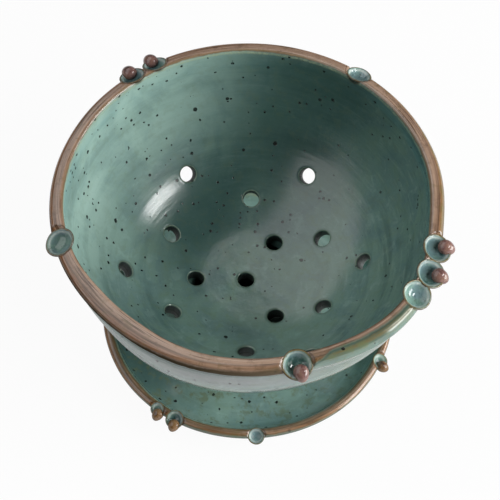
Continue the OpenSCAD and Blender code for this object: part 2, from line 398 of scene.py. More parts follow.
def glaze_cloud(r, place, along):
    """The body of the glaze: cloudy patches, runs down the wall and lines round it."""
    g = glazes()
    flat = r.stretched(place, (1.0, 1.0, 0.0))
    spoke = r.scaled(r.vector("NORMALIZE", flat), 60.0)
    lift = r.node("ShaderNodeCombineXYZ", None, 0.0, 0.0, along)
    run_space = r.shifted(spoke, r.stretched(lift, (0.0, 0.0, 0.12)))
    ring_space = r.shifted(r.scaled(spoke, 0.14), lift)
    runs = r.noise(run_space, 3.2, 4.0, 0.6)
    rings = r.noise(ring_space, 1.9, 4.0, 0.62)
    wide_rings = r.noise(r.shifted(ring_space, (7.0, 3.0, 0.0)), 8.0, 3.0, 0.5)
    clouds = r.noise(place, 24.0, 5.0, 0.6, 0.6)
    small_clouds = r.noise(r.shifted(place, (9.0, 40.0, 3.0)), 6.0, 4.0, 0.6, 0.5)
    grain = r.noise(place, 1.1, 3.0, 0.6)
    near_lip = r.step(along, -16.0, -7.0) * r.step(along, -0.5, -3.5)
    wall = r.step(r.vector("LENGTH", flat, give="Value"), 28.0, 58.0)
    ringed = 0.1 + 0.25 * wall
    shade = r.coats(
        r.mix(r.step(clouds, 0.4, 0.62), linear(g.sea_green), linear(g.grey_blue)),
        (r.step(small_clouds, 0.52, 0.68) * 0.45, g.moss_green),
        (r.step(small_clouds, 0.46, 0.3) * 0.35, g.pale_green_and_light),
        (r.step(clouds, 0.56, 0.7) * 0.3, g.deep_green_and_shade),
        (near_lip * r.step(wide_rings, 0.36, 0.56) * 0.55, g.blue_green),
        (r.step(wide_rings, 0.5, 0.7) * (0.2 + 0.25 * wall), g.deep_green_and_shade),
        (r.step(rings, 0.52, 0.75) * ringed, g.pale_green_and_light),
        (r.step(rings, 0.44, 0.26) * ringed, g.deep_green_and_shade),
        (r.step(runs, 0.54, 0.8) * wall * 0.1, g.pale_green_and_light),
        (r.step(runs, 0.46, 0.28) * wall * 0.12, g.blue_green),
        (r.step(grain, 0.56, 0.78) * 0.18, g.pale_green_and_light),
        (r.step(grain, 0.42, 0.26) * 0.18, g.deep_green_and_shade),
    )
    return SimpleNamespace(shade=shade, ring_space=ring_space, rings=rings, wide_rings=wide_rings, runs=runs,
                           clouds=clouds, grain=grain)


def pot_masks(r, place, along, ring_space):
    """Where each change of a pot's glaze is, from the numbers painted on its mesh."""
    m = SimpleNamespace(along=along, edge=r.painted("edge"), olive=r.painted("olive"))
    m.waver = (r.noise(place, 7.0, 3.0, 0.6) - 0.5) * 1.4 + (r.noise(place, 1.6, 3.0, 0.6) - 0.5) * 0.6
    m.at = along + m.waver
    m.into_brown = m.at - r.painted("brown_from")
    m.past_brown = m.at - r.painted("brown_to")
    m.brown = r.step(m.into_brown, -0.5, 0.4) * r.step(m.past_brown, 0.7, -0.6)
    m.outside = r.step(along, 0.0, 3.0)
    # Painted shade under the lip's roll, from the numbers on the mesh
    m.under_rim = r.painted("rim_under")
    m.shaded = r.step(m.past_brown, -6.0, -3.8) * m.under_rim
    m.hole_wall = r.step(m.edge, 1.2, 1.5)
    m.streaks = r.noise(r.stretched(ring_space, (1.0, 1.0, 5.5)), 2.6, 4.0, 0.6)
    m.mottle = r.noise(r.shifted(place, (2.0, 5.0, 60.0)), 5.0, 5.0, 0.68, 0.3)
    return m


def green_coats(r, m, cloud):
    """The green of a pot, patch by patch, with painted light, shade and reflection, up to the cream line
    where it meets the brown.
    """
    g = glazes()
    # How much of the painted light shows, broken up by the clouds and rings
    thin = (0.95 - 0.3 * r.step(cloud.clouds, 0.42, 0.6) - 0.12 * r.step(cloud.wide_rings, 0.45, 0.6)
            - 0.1 * r.step(cloud.rings, 0.45, 0.6))
    streaked = 0.35 + 0.65 * r.step(m.streaks, 0.4, 0.6)
    grainy = 0.35 + 0.5 * r.step(cloud.grain, 0.4, 0.6)
    return r.coats(
        cloud.shade,
        # Painted light on the inner wall
        (r.painted("pale") * thin, g.pale_green_and_light),
        # Painted reflection of the table under the front of the lip
        (r.painted("grey") * 0.75, g.reflection_grey),
        # Painted shade on the inner wall
        (r.painted("deep") * (1.0 - m.outside) * 0.85, g.deep_green_and_shade),
        (m.olive * r.step(m.along, 34.0, 14.0) * m.outside * 0.3, g.olive),
        (m.olive * m.outside * 0.35, g.deep_green_and_shade),
        (m.olive * r.band(m.at, 3.0, 1.2, 2.2) * streaked, g.olive_brown),
        (r.step(m.mottle, 0.5, 0.64) * (0.12 + m.olive * 0.5), g.olive),
        (r.band(m.into_brown, -0.9, 0.5, 0.7) * grainy, g.cream_line_and_highlight),
    )


def brown_coats(r, m, place, top, groove):
    """The brown of a lip with painted highlights on it, from its top past the groove to the painted shade
    under its roll.
    """
    g = glazes()
    grooved = r.painted("groove")
    # Painted highlight along the inner roll of the lip, stronger where the groove is
    top_highlight = r.step(m.into_brown, 0.8, 2.0) * r.step(m.along, groove - 0.2, groove - 1.6)
    in_groove = r.band(m.along + m.waver * 0.3, groove, 0.25, 0.6) * grooved
    olive_roll = r.step(m.at, groove, groove + 1.6) * r.painted("rim_olive")
    return r.coats(
        r.mix(r.step(m.at, groove - 0.3, groove + 1.4), linear(top), linear(g.lip_brown)),
        (top_highlight * (0.15 + 0.45 * grooved), g.lip_pale_and_highlight),
        # Painted shade under the lip's roll
        (r.step(m.past_brown, -7.6, -4.8) * m.under_rim * 0.6, g.lip_dark),
        # Painted highlights on the lip
        (r.painted("rim_light") * 0.5, g.lip_pale_and_highlight),
        (r.step(m.streaks, 0.5, 0.68) * 0.55, g.lip_pale_and_highlight),
        (r.step(m.streaks, 0.48, 0.35) * 0.75, g.lip_dark),
        (r.step(r.noise(place, 5.0, 4.0, 0.65), 0.5, 0.72) * 0.35, g.lip_dark),
        (olive_roll * (0.55 + 0.45 * r.step(m.mottle, 0.4, 0.6)), g.olive_brown),
        (r.step(m.mottle, 0.52, 0.66) * 0.35, g.olive_brown),
        (in_groove * (0.65 + 0.35 * r.step(m.streaks, 0.4, 0.6)), g.lip_dark),
        (r.step(m.into_brown, 1.5, 0.2) * 0.5, g.olive_brown),
        (r.band(m.into_brown, 0.0, 0.15, 0.5) * 0.45, g.lip_dark),
        (r.band(m.past_brown, -0.2, 0.2, 0.6) * 0.5, g.lip_dark),
        # Under the roll: olive, then painted shade in near black
        (r.step(m.past_brown, -5.6, -3.2) * m.under_rim * 0.85, g.olive_brown),
        (m.shaded * 0.92, g.lip_shade),
    )


def iron_specks(r, place, cell_mm, size_share, patch):
    """Small dark dots scattered through the glaze, one to a cell, and more of them where patch is high."""
    cells = r.node("ShaderNodeTexVoronoi", {"feature": "F1"}, Vector=place, Scale=1.0 / cell_mm,
                   give="Distance")
    draw = r.node("ShaderNodeSeparateColor", None, cells.also("Color"))
    reach = size_share * (0.45 + 0.55 * draw.also(1))
    return r.step(cells - reach, 0.02, -0.02) * (draw < patch)


def all_specks(r, place, brown):
    """Fine and bold specks with ragged edges, fewer on the brown."""
    patch = r.step(r.noise(r.shifted(place, (31.0, 17.0, 5.0)), 22.0, 2.0, 0.5), 0.42, 0.6) * 0.5 + 0.5
    patch = patch * r.painted("specks")
    fray = r.node("ShaderNodeTexNoise", None, Vector=place, Scale=0.9, Detail=2.0, give="Color")
    ragged = r.shifted(place, r.scaled(fray, 0.9))
    fine = iron_specks(r, ragged, 3.6, 0.2, patch)
    bold = iron_specks(r, r.shifted(ragged, (3.3, 1.7, 9.1)), 6.8, 0.15, patch)
    return fine.most(bold) * (1.0 - 0.75 * brown)


def make_pot_glaze(name, top, groove):
    """Green glaze that breaks to brown over a lip, whose groove lies so many mm past its crest."""
    g = glazes()
    r = NodeRecipe(bpy.data.materials.new(name))
    place, along = r.place(), r.painted("along")
    cloud = glaze_cloud(r, place, along)
    m = pot_masks(r, place, along, cloud.ring_space)
    specks = all_specks(r, place, m.brown)
    dull_brown = m.shaded * m.brown
    shade = r.coats(
        r.mix(m.brown, green_coats(r, m, cloud), brown_coats(r, m, place, top, groove)),
        # A darker green line just past the brown: painted shade under the roll
        (r.band(m.past_brown, 0.9, 0.35, 0.5) * 0.6, g.deep_green_and_shade),
        (r.band(r.painted("seat"), 0.1, 0.2, 0.35) * 0.8, g.lip_dark),
        # Painted shade in and round the drain holes, and a painted highlight on their rounded edges
        (r.step(m.edge, 0.05, 0.5) * 0.3, g.deep_green_and_shade),
        (r.band(m.edge, 0.95, 0.12, 0.22) * 0.5, g.cream_line_and_highlight),
        (m.hole_wall * 0.9, g.hole_shade),
        (specks * 0.95, g.speck),
    )
    rough = (0.2 - 0.09 * m.outside + 0.04 * r.step(cloud.grain, 0.45, 0.7) + 0.05 * specks
             + 0.7 * dull_brown + 0.4 * m.hole_wall)
    height = (0.35 * cloud.rings + 0.35 * cloud.grain + 0.1 * cloud.runs + 0.3 * m.streaks * m.brown
              - 0.8 * specks)
    normal = r.bump(cloud.wide_rings, 0.5, 0.6, r.bump(height, 0.12, 0.5))
    gloss = r.glossy(shade, rough, normal, POT_IOR)
    dull = r.node("ShaderNodeBsdfDiffuse", None, Color=shade, Normal=normal)
    return r.finish(r.node("ShaderNodeMixShader", None, dull_brown * 0.9, gloss, dull))


def make_cup_glaze():
    """Blue glaze that pools white inside the rim, with a painted highlight there and painted shade in the
    hollow, and breaks to brown over it.
    """
    g = glazes()
    r = NodeRecipe(bpy.data.materials.new("cup_glaze"))
    place = r.place()
    grain = r.noise(place, 0.9, 3.0, 0.6)
    at = r.painted("along") + (r.noise(place, 1.3, 2.0, 0.5) - 0.5) * 0.5
    patches = r.step(r.noise(r.shifted(place, (4.0, 9.0, 1.0)), 4.5, 3.0, 0.6), 0.44, 0.6)
    # Painted shade in a cup's hollow, deeper in a cup that holds a bead
    hollow_shade = r.step(at, -1.6, -3.4) * r.painted("dark")
    shade = r.coats(
        r.mix(r.step(r.noise(place, 9.0, 3.0, 0.55), 0.4, 0.62), linear(g.cup_blue), linear(g.sea_green)),
        (r.step(grain, 0.5, 0.75) * 0.3, g.pale_green_and_light),
        (r.step(r.noise(place, 2.2, 4.0, 0.65), 0.54, 0.68) * 0.4, g.deep_green_and_shade),
        (hollow_shade * (0.45 + 0.45 * patches), g.deep_green_and_shade),
        # Pale glaze inside the rim, with a painted highlight on it
        (r.band(at, -1.1, 0.45, 0.5) * (0.45 + 0.5 * patches), g.cup_rim_and_highlight),
        (r.step(at, -0.45, -0.1) * (0.9 - 0.4 * patches), g.olive_brown),
        (r.step(at, 0.0, 0.6) * 0.8, g.lip_dark),
        (r.step(at, 0.8, 2.0) * 0.5, g.deep_green_and_shade),
        (r.step(r.noise(place, 3.1, 3.0, 0.6), 0.6, 0.72) * 0.5, g.lip_dark),
    )
    rough = 0.05 + 0.05 * r.step(at, -0.7, 0.0)
    return r.finish(r.glossy(shade, rough, r.bump(grain, 0.06, 0.3), CUP_IOR))


def make_bead_glaze():
    """Mottled brown glaze, more golden on the saucer, with painted shade in deep green low on a bead where it
    lies in its cup.
    """
    g = glazes()
    r = NodeRecipe(bpy.data.materials.new("bead_glaze"))
    place = r.place()
    cloud = r.noise(place, 3.0, 3.0, 0.6)
    grain = r.noise(place, 0.7, 3.0, 0.6)
    shade = r.coats(
        r.mix(r.painted("gold"), linear(g.bead_brown), linear(g.bead_gold)),
        (r.step(cloud, 0.45, 0.68) * 0.5, g.lip_pink),
        (r.step(cloud, 0.5, 0.32) * 0.8, g.bead_dark),
        (r.step(grain, 0.55, 0.75) * 0.4, g.lip_pale_and_highlight),
        # Painted shade low on a bead, where it lies in its cup
        (r.step(r.painted("along"), 2.0, 0.3) * 0.6, g.deep_green_and_shade),
    )
    return r.finish(r.glossy(shade, 0.1 + 0.08 * grain, r.bump(grain, 0.1, 0.5), CUP_IOR))


def make_foot_glaze():
    """Green glaze on the foot's sides, a brown line, and bare clay where it stands."""
    g = glazes()
    r = NodeRecipe(bpy.data.materials.new("foot_glaze"))
    place, height = r.place(), r.painted("along")
    cloud = glaze_cloud(r, place, height)
    sand = r.noise(place, 0.6, 4.0, 0.7)
    turned = r.noise(r.stretched(place, (0.05, 0.05, 1.0)), 1.6, 3.0, 0.5)
    clay = r.coats(
        r.mix(r.step(turned, 0.4, 0.65) * 0.5, linear(g.bare_clay), linear(g.lip_pink)),
        (r.step(sand, 0.58, 0.75) * 0.5, g.lip_dark),
    )
    at = height + (r.noise(place, 6.0, 3.0, 0.6) - 0.5)
    bare = r.step(at, 1.3, 1.1)
    green = r.coats(
        cloud.shade,
        (r.step(cloud.clouds, 0.3, 0.7) * 0.7, g.deep_green_and_shade),
        (r.step(at, 3.0, 1.8) * 0.85, g.lip_brown),
    )
    normal = r.bump(turned, 0.4, 0.5, r.bump(0.6 * sand * bare + 0.3 * cloud.grain, 0.2, 0.6))
    return r.finish(r.glossy(r.mix(bare, green, clay), 0.17 + 0.6 * bare, normal, POT_IOR))


# Lines and swellings


def arc(x, y, a, b, start, end, steps):
    """Points along an ellipse with half axes a and b round [x, y], angles in degrees."""
    t = np.radians(np.linspace(start, end, steps + 1))
    return np.stack([x + a * np.cos(t), y + b * np.sin(t)], 1)


def offset_curve(points, lean, width, height, thick):
    """Points a thickness outside an ellipse with half axes width and height, at the angles lean."""
    out = np.stack([height * np.sin(lean), -width * np.cos(lean)], 1)
    return points + thick[:, None] * out / np.linalg.norm(out, axis=1)[:, None]


def distances(line):
    """How far along a line each of its points is."""
    return np.concatenate([[0], np.cumsum(np.linalg.norm(np.diff(line, axis=0), axis=1))])


def even(points, gap):
    """The same line with points about gap apart."""
    run = distances(points)
    t = np.linspace(0, run[-1], max(2, int(round(run[-1] / gap)) + 1))
    return np.stack([np.interp(t, run, points[:, k]) for k in (0, 1)], 1)


def softened(points, gap, radius):
    """Rounds the corners of a line over about radius, keeping its ends."""
    line = even(points, gap)
    reach = int(3 * radius / gap)
    weights = np.exp(-0.5 * (np.arange(-reach, reach + 1) * gap / radius) ** 2)
    weights /= weights.sum()
    before = 2 * line[0] - line[1:reach + 1][::-1]
    after = 2 * line[-1] - line[-reach - 1:-1][::-1]
    padded = np.concatenate([before, line, after])
    return np.stack([np.convolve(padded[:, k], weights, "valid") for k in (0, 1)], 1)


def circle(count):
    """Angles evenly round the axis."""
    return np.linspace(0, 2 * math.pi, count, endpoint=False)


def turn_of(points):
    return np.arctan2(points[:, 1], points[:, 0])


def reach_of(points):
    return np.hypot(points[:, 0], points[:, 1])


def sway(turn, seed, first, last, height):
    """An even, closed wave round the pot, the same each time."""
    rng = np.random.default_rng(seed)
    total = np.zeros_like(turn)
    for k in range(first, last + 1):
        total += rng.normal() * np.sin(k * turn + rng.uniform(0, 2 * math.pi)) / k ** 0.6
    return height * total / math.sqrt(last - first + 1)


def bump_at(turn, middle, half):
    """A smooth swelling centred on a turn, angles in degrees."""
    away = (np.degrees(turn) - middle + 180) % 360 - 180
    return np.exp(-0.5 * (away / half) ** 2)


def swell(along, middle, half):
    """A smooth swelling centred on a place along a section."""
    return np.exp(-0.5 * ((along - middle) / half) ** 2)


def patches(turn, along, table):
    """Swellings in both directions, added up to 1 at most."""
    return np.minimum(1.0, sum(strength * bump_at(turn, middle, half) * swell(along, at, reach)
                               for strength, middle, half, at, reach in table))


# Thrown forms. Lengths in mm


def bowl_curves():
    """Inner wall, lip and outer wall of the bowl, as (radius, height) points."""
    s = sizes()
    mouth = s.bowl_radius - s.lip_width
    run = mouth - s.floor_radius
    floor = LIP_TOP - s.bowl_depth
    inner_end, outer_end = 86, 81
    degrees = np.linspace(0, inner_end, 400)
    lean = np.radians(degrees)
    inner = np.stack([s.floor_radius + run * np.sin(lean), floor + s.bowl_depth * (1 - np.cos(lean))], 1)
    thick = s.floor_thickness + (s.wall_thickness - s.floor_thickness) * np.sin(lean) ** 2
    outer = offset_curve(inner, lean, run, s.bowl_depth, thick)[degrees < outer_end]
    small, groove_drop = s.inner_roll / 2, 0.55
    wide, tall = (s.lip_width - s.inner_roll) * 0.85, 4.2
    lip = np.concatenate([
        arc(mouth + small, LIP_TOP - small, small, small, 165, 58, 16),
        [[mouth + 2 * small, LIP_TOP - groove_drop]],
        arc(s.bowl_radius - wide, LIP_TOP - small / 5 - tall, wide, tall, 99, -60, 60),
    ])
    return inner, lip, outer[::-1]


def saucer_line():
    """Section of the saucer from the middle of its floor, over the rim, to the middle underneath."""
    s = sizes()
    roll, recess, cove, bevel = 2.1, 3.5, 8.5, 0.8
    foot_out, foot_in = s.saucer_foot_radius, s.saucer_foot_radius - s.saucer_foot_width
    rise = SAUCER_TOP - SEAT - roll
    flat = s.saucer_radius - 2 * roll - roll / 3 - cove

    def wall(lean):
        return np.stack([flat + cove * np.sin(lean), SEAT + rise * (1 - np.cos(lean))], 1)

    above, below = np.radians(np.linspace(0, 80, 60)), np.radians(np.linspace(0, 72, 60))
    outer = offset_curve(wall(below), below, cove, rise, 5.0 - 1.2 * np.sin(below))[::-1]
    foot = [[foot_out, recess], [foot_out, bevel], [foot_out - bevel, 0],
            [foot_in + bevel, 0], [foot_in, bevel], [foot_in, recess], [0, recess]]
    rim = arc(s.saucer_radius - roll, SAUCER_TOP - roll, roll, roll, 150, -30, 30)
    return np.concatenate([[[0, SEAT]], wall(above), rim, outer, foot])


def foot_line():
    """Section of the foot ring, from under the bowl down its outer side and up its inner side."""
    s = sizes()
    outer = bowl_curves()[2][::-1]
    floor = LIP_TOP - s.bowl_depth
    waist, top, bevel = (SEAT + floor) / 2, floor - s.floor_thickness, 0.8
    radius, inside = s.foot_radius, s.foot_radius - s.foot_width

    def under(r, sunk):
        return [r, float(np.interp(r, outer[:, 0], outer[:, 1])) + sunk]

    outside = [under(radius + 1.3, 0.5), under(radius, -0.5), [radius - 1, top - 2.5], [radius - 2, waist],
               [radius - 1, SEAT + (floor - SEAT) / 5], [radius, SEAT + bevel], [radius - bevel, SEAT]]
    within = [[inside + bevel, SEAT], [inside, SEAT + bevel], [inside - 1, waist], [inside - 2, top - 2.5],
              under(inside - 3, -0.5), under(inside - 4.2, 0.5)]
    return softened(np.array(outside + within), 0.1, 0.5)


def pushed_out(points, push):
    """Moves points away from the axis by push, and less close to it."""
    moved = points.copy()
    moved[:, :2] *= (1 + push / np.maximum(reach_of(points), 20))[:, None]
    return moved


def bowl_by_hand(points, along):
    """Moves points of a true bowl to where the thrown one has them."""
    s = sizes()
    turn, radius, level = turn_of(points), reach_of(points), points[:, 2]
    rise = np.clip((level - (LIP_TOP - s.bowl_depth)) / s.bowl_depth, 0, 1) ** 1.6
    push = (sum(height * bump_at(turn, middle, half) for height, middle, half in BOWL_PUSHES)
            + sway(turn, 3, 2, 5, 0.2) + sway(turn, 4, 9, 24, 0.10))
    full_front = 1.3 * bump_at(turn, 262, 36) - 2.0 * bump_at(turn, 212, 17)
    belly = swell(level, 74, 17) * np.clip((along - 6) / 8, 0, 1) * full_front
    full_roll = 1.2 * bump_at(turn, 312, 13) * swell(along, 8, 3)
    thumb = np.clip(1.2 * bump_at(turn, 226, 15), 0, 1)
    wide_lip = -2.0 * thumb * swell(along, -0.5, np.where(along < -0.5, 5, 2))
    groove = -1.5 * bump_at(turn, 235, 34) * swell(along, 9.2, 1.7)
    moved = pushed_out(points, push * rise + belly + full_roll + wide_lip + groove)
    moved[:, 2] += (sway(turn, 5, 2, 6, 0.22) + sway(turn, 6, 10, 30, 0.06) - 0.3) * rise ** 2
    dish = 0.22 * swell(radius, 17, 4.5) - 0.42 * swell(radius, 0, 9)
    moved[:, 2] += np.where(along < -20, dish, 0)
    return moved


def saucer_by_hand(points):
    """Moves points of a true saucer to where the thrown one has them."""
    turn = turn_of(points)
    rise = np.clip((points[:, 2] - SEAT) / (SAUCER_TOP - SEAT), 0, 1)
    moved = pushed_out(points, (sway(turn, 13, 2, 5, 0.3) + sway(turn, 14, 9, 24, 0.08)) * rise)
    moved[:, 2] += (sway(turn, 15, 2, 6, 0.15) - 0.15) * rise ** 2
    return moved


class Pot:
    """Points, faces and painted numbers of a mesh while it is being made."""

    def __init__(self):
        self.points, self.faces = [], []
        self.along, self.edge = [], []
        self.count = 0

    def add(self, points, along, edge=0.0):
        """Adds points and gives their numbers. Along and edge are numbers or one number for each point."""
        points = np.asarray(points, float)
        n = len(points)
        self.points.append(points)
        self.along.append(np.broadcast_to(np.asarray(along, float), n))
        self.edge.append(np.broadcast_to(np.asarray(edge, float), n))
        self.count += n
        return np.arange(self.count - n, self.count)

    def strip(self, a, b):
        """Joins two closed rings of points with quads."""
        for i in range(len(a)):
            j = (i + 1) % len(a)
            self.faces.append((int(a[i]), int(a[j]), int(b[j]), int(b[i])))

    def rings(self, line, along, turns, first=None, last=None):
        """Turns a line into rings of quads. first and last are rings that exist already."""
        before = first
        for (radius, height), here in zip(line, along):
            ring = self.add(np.stack([radius * np.cos(turns), radius * np.sin(turns),
                                      np.full(len(turns), height)], 1), here)
            if before is not None:
                self.strip(before, ring)
            else:
                first = ring
            before = ring
        if last is not None:
            self.strip(before, last)
        return first, before

    def cap(self, ring, height, along):
        """Closes a ring with triangles to a point on the axis."""
        middle = int(self.add([[0, 0, height]], along)[0])
        for i in range(len(ring)):
            self.faces.append((int(ring[i]), int(ring[(i + 1) % len(ring)]), middle))

    def all_points(self):
        return np.concatenate(self.points)

    def paint(self):
        return {"along": np.concatenate(self.along), "edge": np.concatenate(self.edge)}


def make_object(name, points, faces, paint, material, body, node):
    """A smooth mesh object that rides on a body and stands for a CAD node."""
    mesh = bpy.data.meshes.new(name)
    mesh.from_pydata((np.asarray(points) * MM).tolist(), [], faces)
    for key, values in paint.items():
        layer = mesh.attributes.new(key, "FLOAT", "POINT")
        layer.data.foreach_set("value", np.asarray(values, np.float32))
    mesh.polygons.foreach_set("use_smooth", [True] * len(mesh.polygons))
    mesh.update()
    if mesh.validate():
        raise RuntimeError(f"{name} has faces that Blender had to drop")
    thing = bpy.data.objects.new(name, mesh)
    bpy.context.scene.collection.objects.link(thing)
    mesh.materials.append(material)
    turn_faces_out(mesh)
    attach(thing, body)
    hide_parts(node)


def turn_faces_out(mesh):
    """Makes every face look away from the clay."""
    work = bmesh.new()
    work.from_mesh(mesh)
    bmesh.ops.recalc_face_normals(work, faces=work.faces)
    work.to_mesh(mesh)
    work.free()


# Cups and beads


class CupPlace:
    """Where a cup sits on a rim: its middle at the mouth and its own axes, z out of the mouth."""

    def __init__(self, turn, reach, level, radius, depth, wall):
        lean, turn = sizes().cup_lean, math.radians(turn)
        self.x = np.array([math.cos(turn) * math.cos(lean), math.sin(turn) * math.cos(lean), -math.sin(lean)])
        self.y = np.array([-math.sin(turn), math.cos(turn), 0.0])
        self.z = np.cross(self.x, self.y)
        self.middle = np.array([math.cos(turn) * reach, math.sin(turn) * reach, level])
        self.radius, self.depth, self.wall = radius, depth, wall
        self.ball = ball_radius(radius, depth)
        self.ball_middle = self.middle + self.z * (self.ball - depth)

    def out(self, points):
        """Points in the cup's own axes, moved to where the cup is."""
        return self.middle + points @ np.stack([self.x, self.y, self.z])

    def gap(self, points):
        """How far points are outside the cup's ball."""
        return np.linalg.norm(points - self.ball_middle, axis=1) - self.ball

    def press(self, points, bite):
        """Presses points that are in the cup's ball down to its underside, less the bite."""
        away = points - self.ball_middle
        up = away @ self.z
        side = np.linalg.norm(away - up[:, None] * self.z, axis=1)
        radius = self.ball - bite
        low = -np.sqrt(np.maximum(radius ** 2 - side ** 2, 0))
        inside = (side < radius) & (up > low) & (up < radius)
        moved = points.copy()
        moved[inside] += (low - up)[inside, None] * self.z
        return moved


def ball_radius(radius, depth):
    """Radius of the ball that a shallow cup is a part of."""
    return (radius ** 2 + depth ** 2) / (2 * depth)


def bowl_cup_places():
    s = sizes()
    return [CupPlace(turn, reach, LIP_TOP - BOWL_CUP_SUNK, s.cup_radius * share, s.cup_depth * share,
                     s.cup_wall) for turn, share, reach in BOWL_CUPS]


def saucer_cup_places():
    s = sizes()
    return [CupPlace(turn, reach, SAUCER_TOP - SAUCER_CUP_SUNK, s.small_cup_radius * share,
                     s.small_cup_depth * share, s.small_cup_wall) for turn, share, reach in SAUCER_CUPS]


def press_cups(points, places, bite):
    """Dents a pot's rim under its cups, and says how far each point is from the nearest cup."""
    near = np.full(len(points), np.inf)
    for place in places:
        near = np.minimum(near, place.gap(points))
        points = place.press(points, bite)
    return points, np.minimum(near, 99.0)


def cup_line(place):
    """Section of a cup from the middle inside, over its rim, to the middle outside."""
    wall = place.wall
    inner_radius, inner_depth = place.radius - wall, place.depth - wall
    inner_ball = ball_radius(inner_radius, inner_depth)
    up_to_rim = 0.93
    inner_lean = math.degrees(math.asin(inner_radius / inner_ball)) * up_to_rim
    outer_lean = math.degrees(math.asin(place.radius / place.ball)) * up_to_rim
    inside = arc(0, inner_ball - inner_depth, inner_ball, inner_ball, -90, -90 + inner_lean, 30)
    outside = arc(0, place.ball - place.depth, place.ball, place.ball, -90 + outer_lean, -90, 30)
    rim = arc(place.radius - wall * 0.52, -wall * 0.38, wall * 0.5, wall * 0.5, 150, 20, 8)
    return softened(np.concatenate([inside, rim, outside]), 0.08, wall * 0.16)


def closed_form(line, along, points_round):
    """A pot turned from a line that begins and ends on the axis."""
    pot = Pot()
    first, last = pot.rings(line[1:-1], along[1:-1], circle(points_round))
    pot.cap(first, line[0, 1], along[0])
    pot.cap(last, line[-1, 1], along[-1])
    return pot


def make_cup(name, place, neighbours, dark, seed, material, body):
    """A pressed cup in its place, dented by the cups that were set after it."""
    line = even(cup_line(place), place.radius / 20)
    run = distances(line)
    pot = closed_form(line, run - run[np.argmax(line[:, 1])], CUP_POINTS)
    points = pot.all_points()
    turn, reach = turn_of(points), reach_of(points) / place.radius
    points[:, :2] *= (1 + sway(turn, seed, 2, 5, 0.018) * reach)[:, None]
    points[:, 2] += sway(turn, seed + 50, 2, 4, 0.14) * reach ** 2 * place.radius / sizes().cup_radius
    points = place.out(points)
    for other in neighbours:
        points = other.press(points, NEXT_CUP_BITE)
    paint = {**pot.paint(), "dark": np.full(len(points), dark)}
    make_object(name, points, pot.faces, paint, material, body, name)


def make_bead(name, place, extra_turn, share, thickness, bead_length, gold, seed, material, body):
    """An egg-shaped bead that lies in a cup with its pointed end outward."""
    t = np.radians(np.linspace(0, 180, 33))
    line = np.stack([thickness / 2 * np.sin(t) * (1 + np.cos(t) / 7), -bead_length / 2 * np.cos(t)], 1)
    pot = closed_form(line, np.zeros(len(line)), BEAD_POINTS)
    points = pot.all_points()
    points[:, :2] *= (1 + sway(turn_of(points) + points[:, 2] * 0.25, seed, 2, 4, 0.014))[:, None]
    points = points[:, [2, 1, 0]] * [1, 1, -1] + [place.radius * share, 0, -thickness * 0.14]
    paint = {"along": points[:, 2] + thickness * 0.5, "gold": np.full(len(points), gold)}
    c, s = math.cos(math.radians(extra_turn)), math.sin(math.radians(extra_turn))
    points = place.out(points) @ np.array([[c, s, 0], [-s, c, 0], [0, 0, 1]])
    make_object(name, points, pot.faces, paint, material, body, name)


# The drilled bowl


class DrainHole:
    """A hole drilled square to the bowl's inner wall."""

    POINTS = 40
    # How far above and below its middle the hole can meet a wall, in mm
    SEARCH = (-9.0, 16.0)

    def __init__(self, turn, reach, inner):
        turn = math.radians(turn)
        out = np.array([math.cos(turn), math.sin(turn), 0.0])
        k = int(np.argmin(np.abs(inner[:, 0] - reach))) if reach > inner[0, 0] else 0
        slope = np.array([1.0, 0.0])
        if k > 0:
            slope = inner[min(k + 1, len(inner) - 1)] - inner[k - 1]
            slope /= np.linalg.norm(slope)
        self.middle = out * reach + [0, 0, inner[k, 1]]
        self.side = np.array([-math.sin(turn), math.cos(turn), 0.0])
        self.uphill = out * slope[0] + [0, 0, slope[1]]
        self.down = np.cross(self.side, self.uphill)

    def ring(self, radius, line):
        """Points round the hole's axis, where a tube of that radius meets a wall."""
        angles = circle(self.POINTS)[:, None]
        start = self.middle + radius * (np.cos(angles) * self.side + np.sin(angles) * self.uphill)
        low, high = (np.full(self.POINTS, depth) for depth in self.SEARCH)
        for _ in range(30):
            half = (low + high) / 2
            past = below_line(start + half[:, None] * self.down, line)
            low, high = np.where(past, low, half), np.where(past, half, high)
        return start + low[:, None] * self.down


def nearest(points, line):
    """Points as (radius, height), and the number of the line's point nearest to each."""
    flat = np.stack([reach_of(points), points[:, 2]], 1)
    return flat, np.argmin(((flat[:, None, :] - line[None, :, :]) ** 2).sum(2), axis=1)


def below_line(points, line):
    """Whether points are on the far side of a (radius, height) line that runs outward and up."""
    flat, k = nearest(points, line)
    k = np.clip(k, 1, len(line) - 2)
    tangent = line[k + 1] - line[k - 1]
    away = flat - line[k]
    return tangent[:, 0] * away[:, 1] - tangent[:, 1] * away[:, 0] < 0


def unrolled(where, turn):
    """Points of a wall laid flat: how far along its line, and the turn."""
    return np.stack([where * np.cos(turn), where * np.sin(turn)], 1)


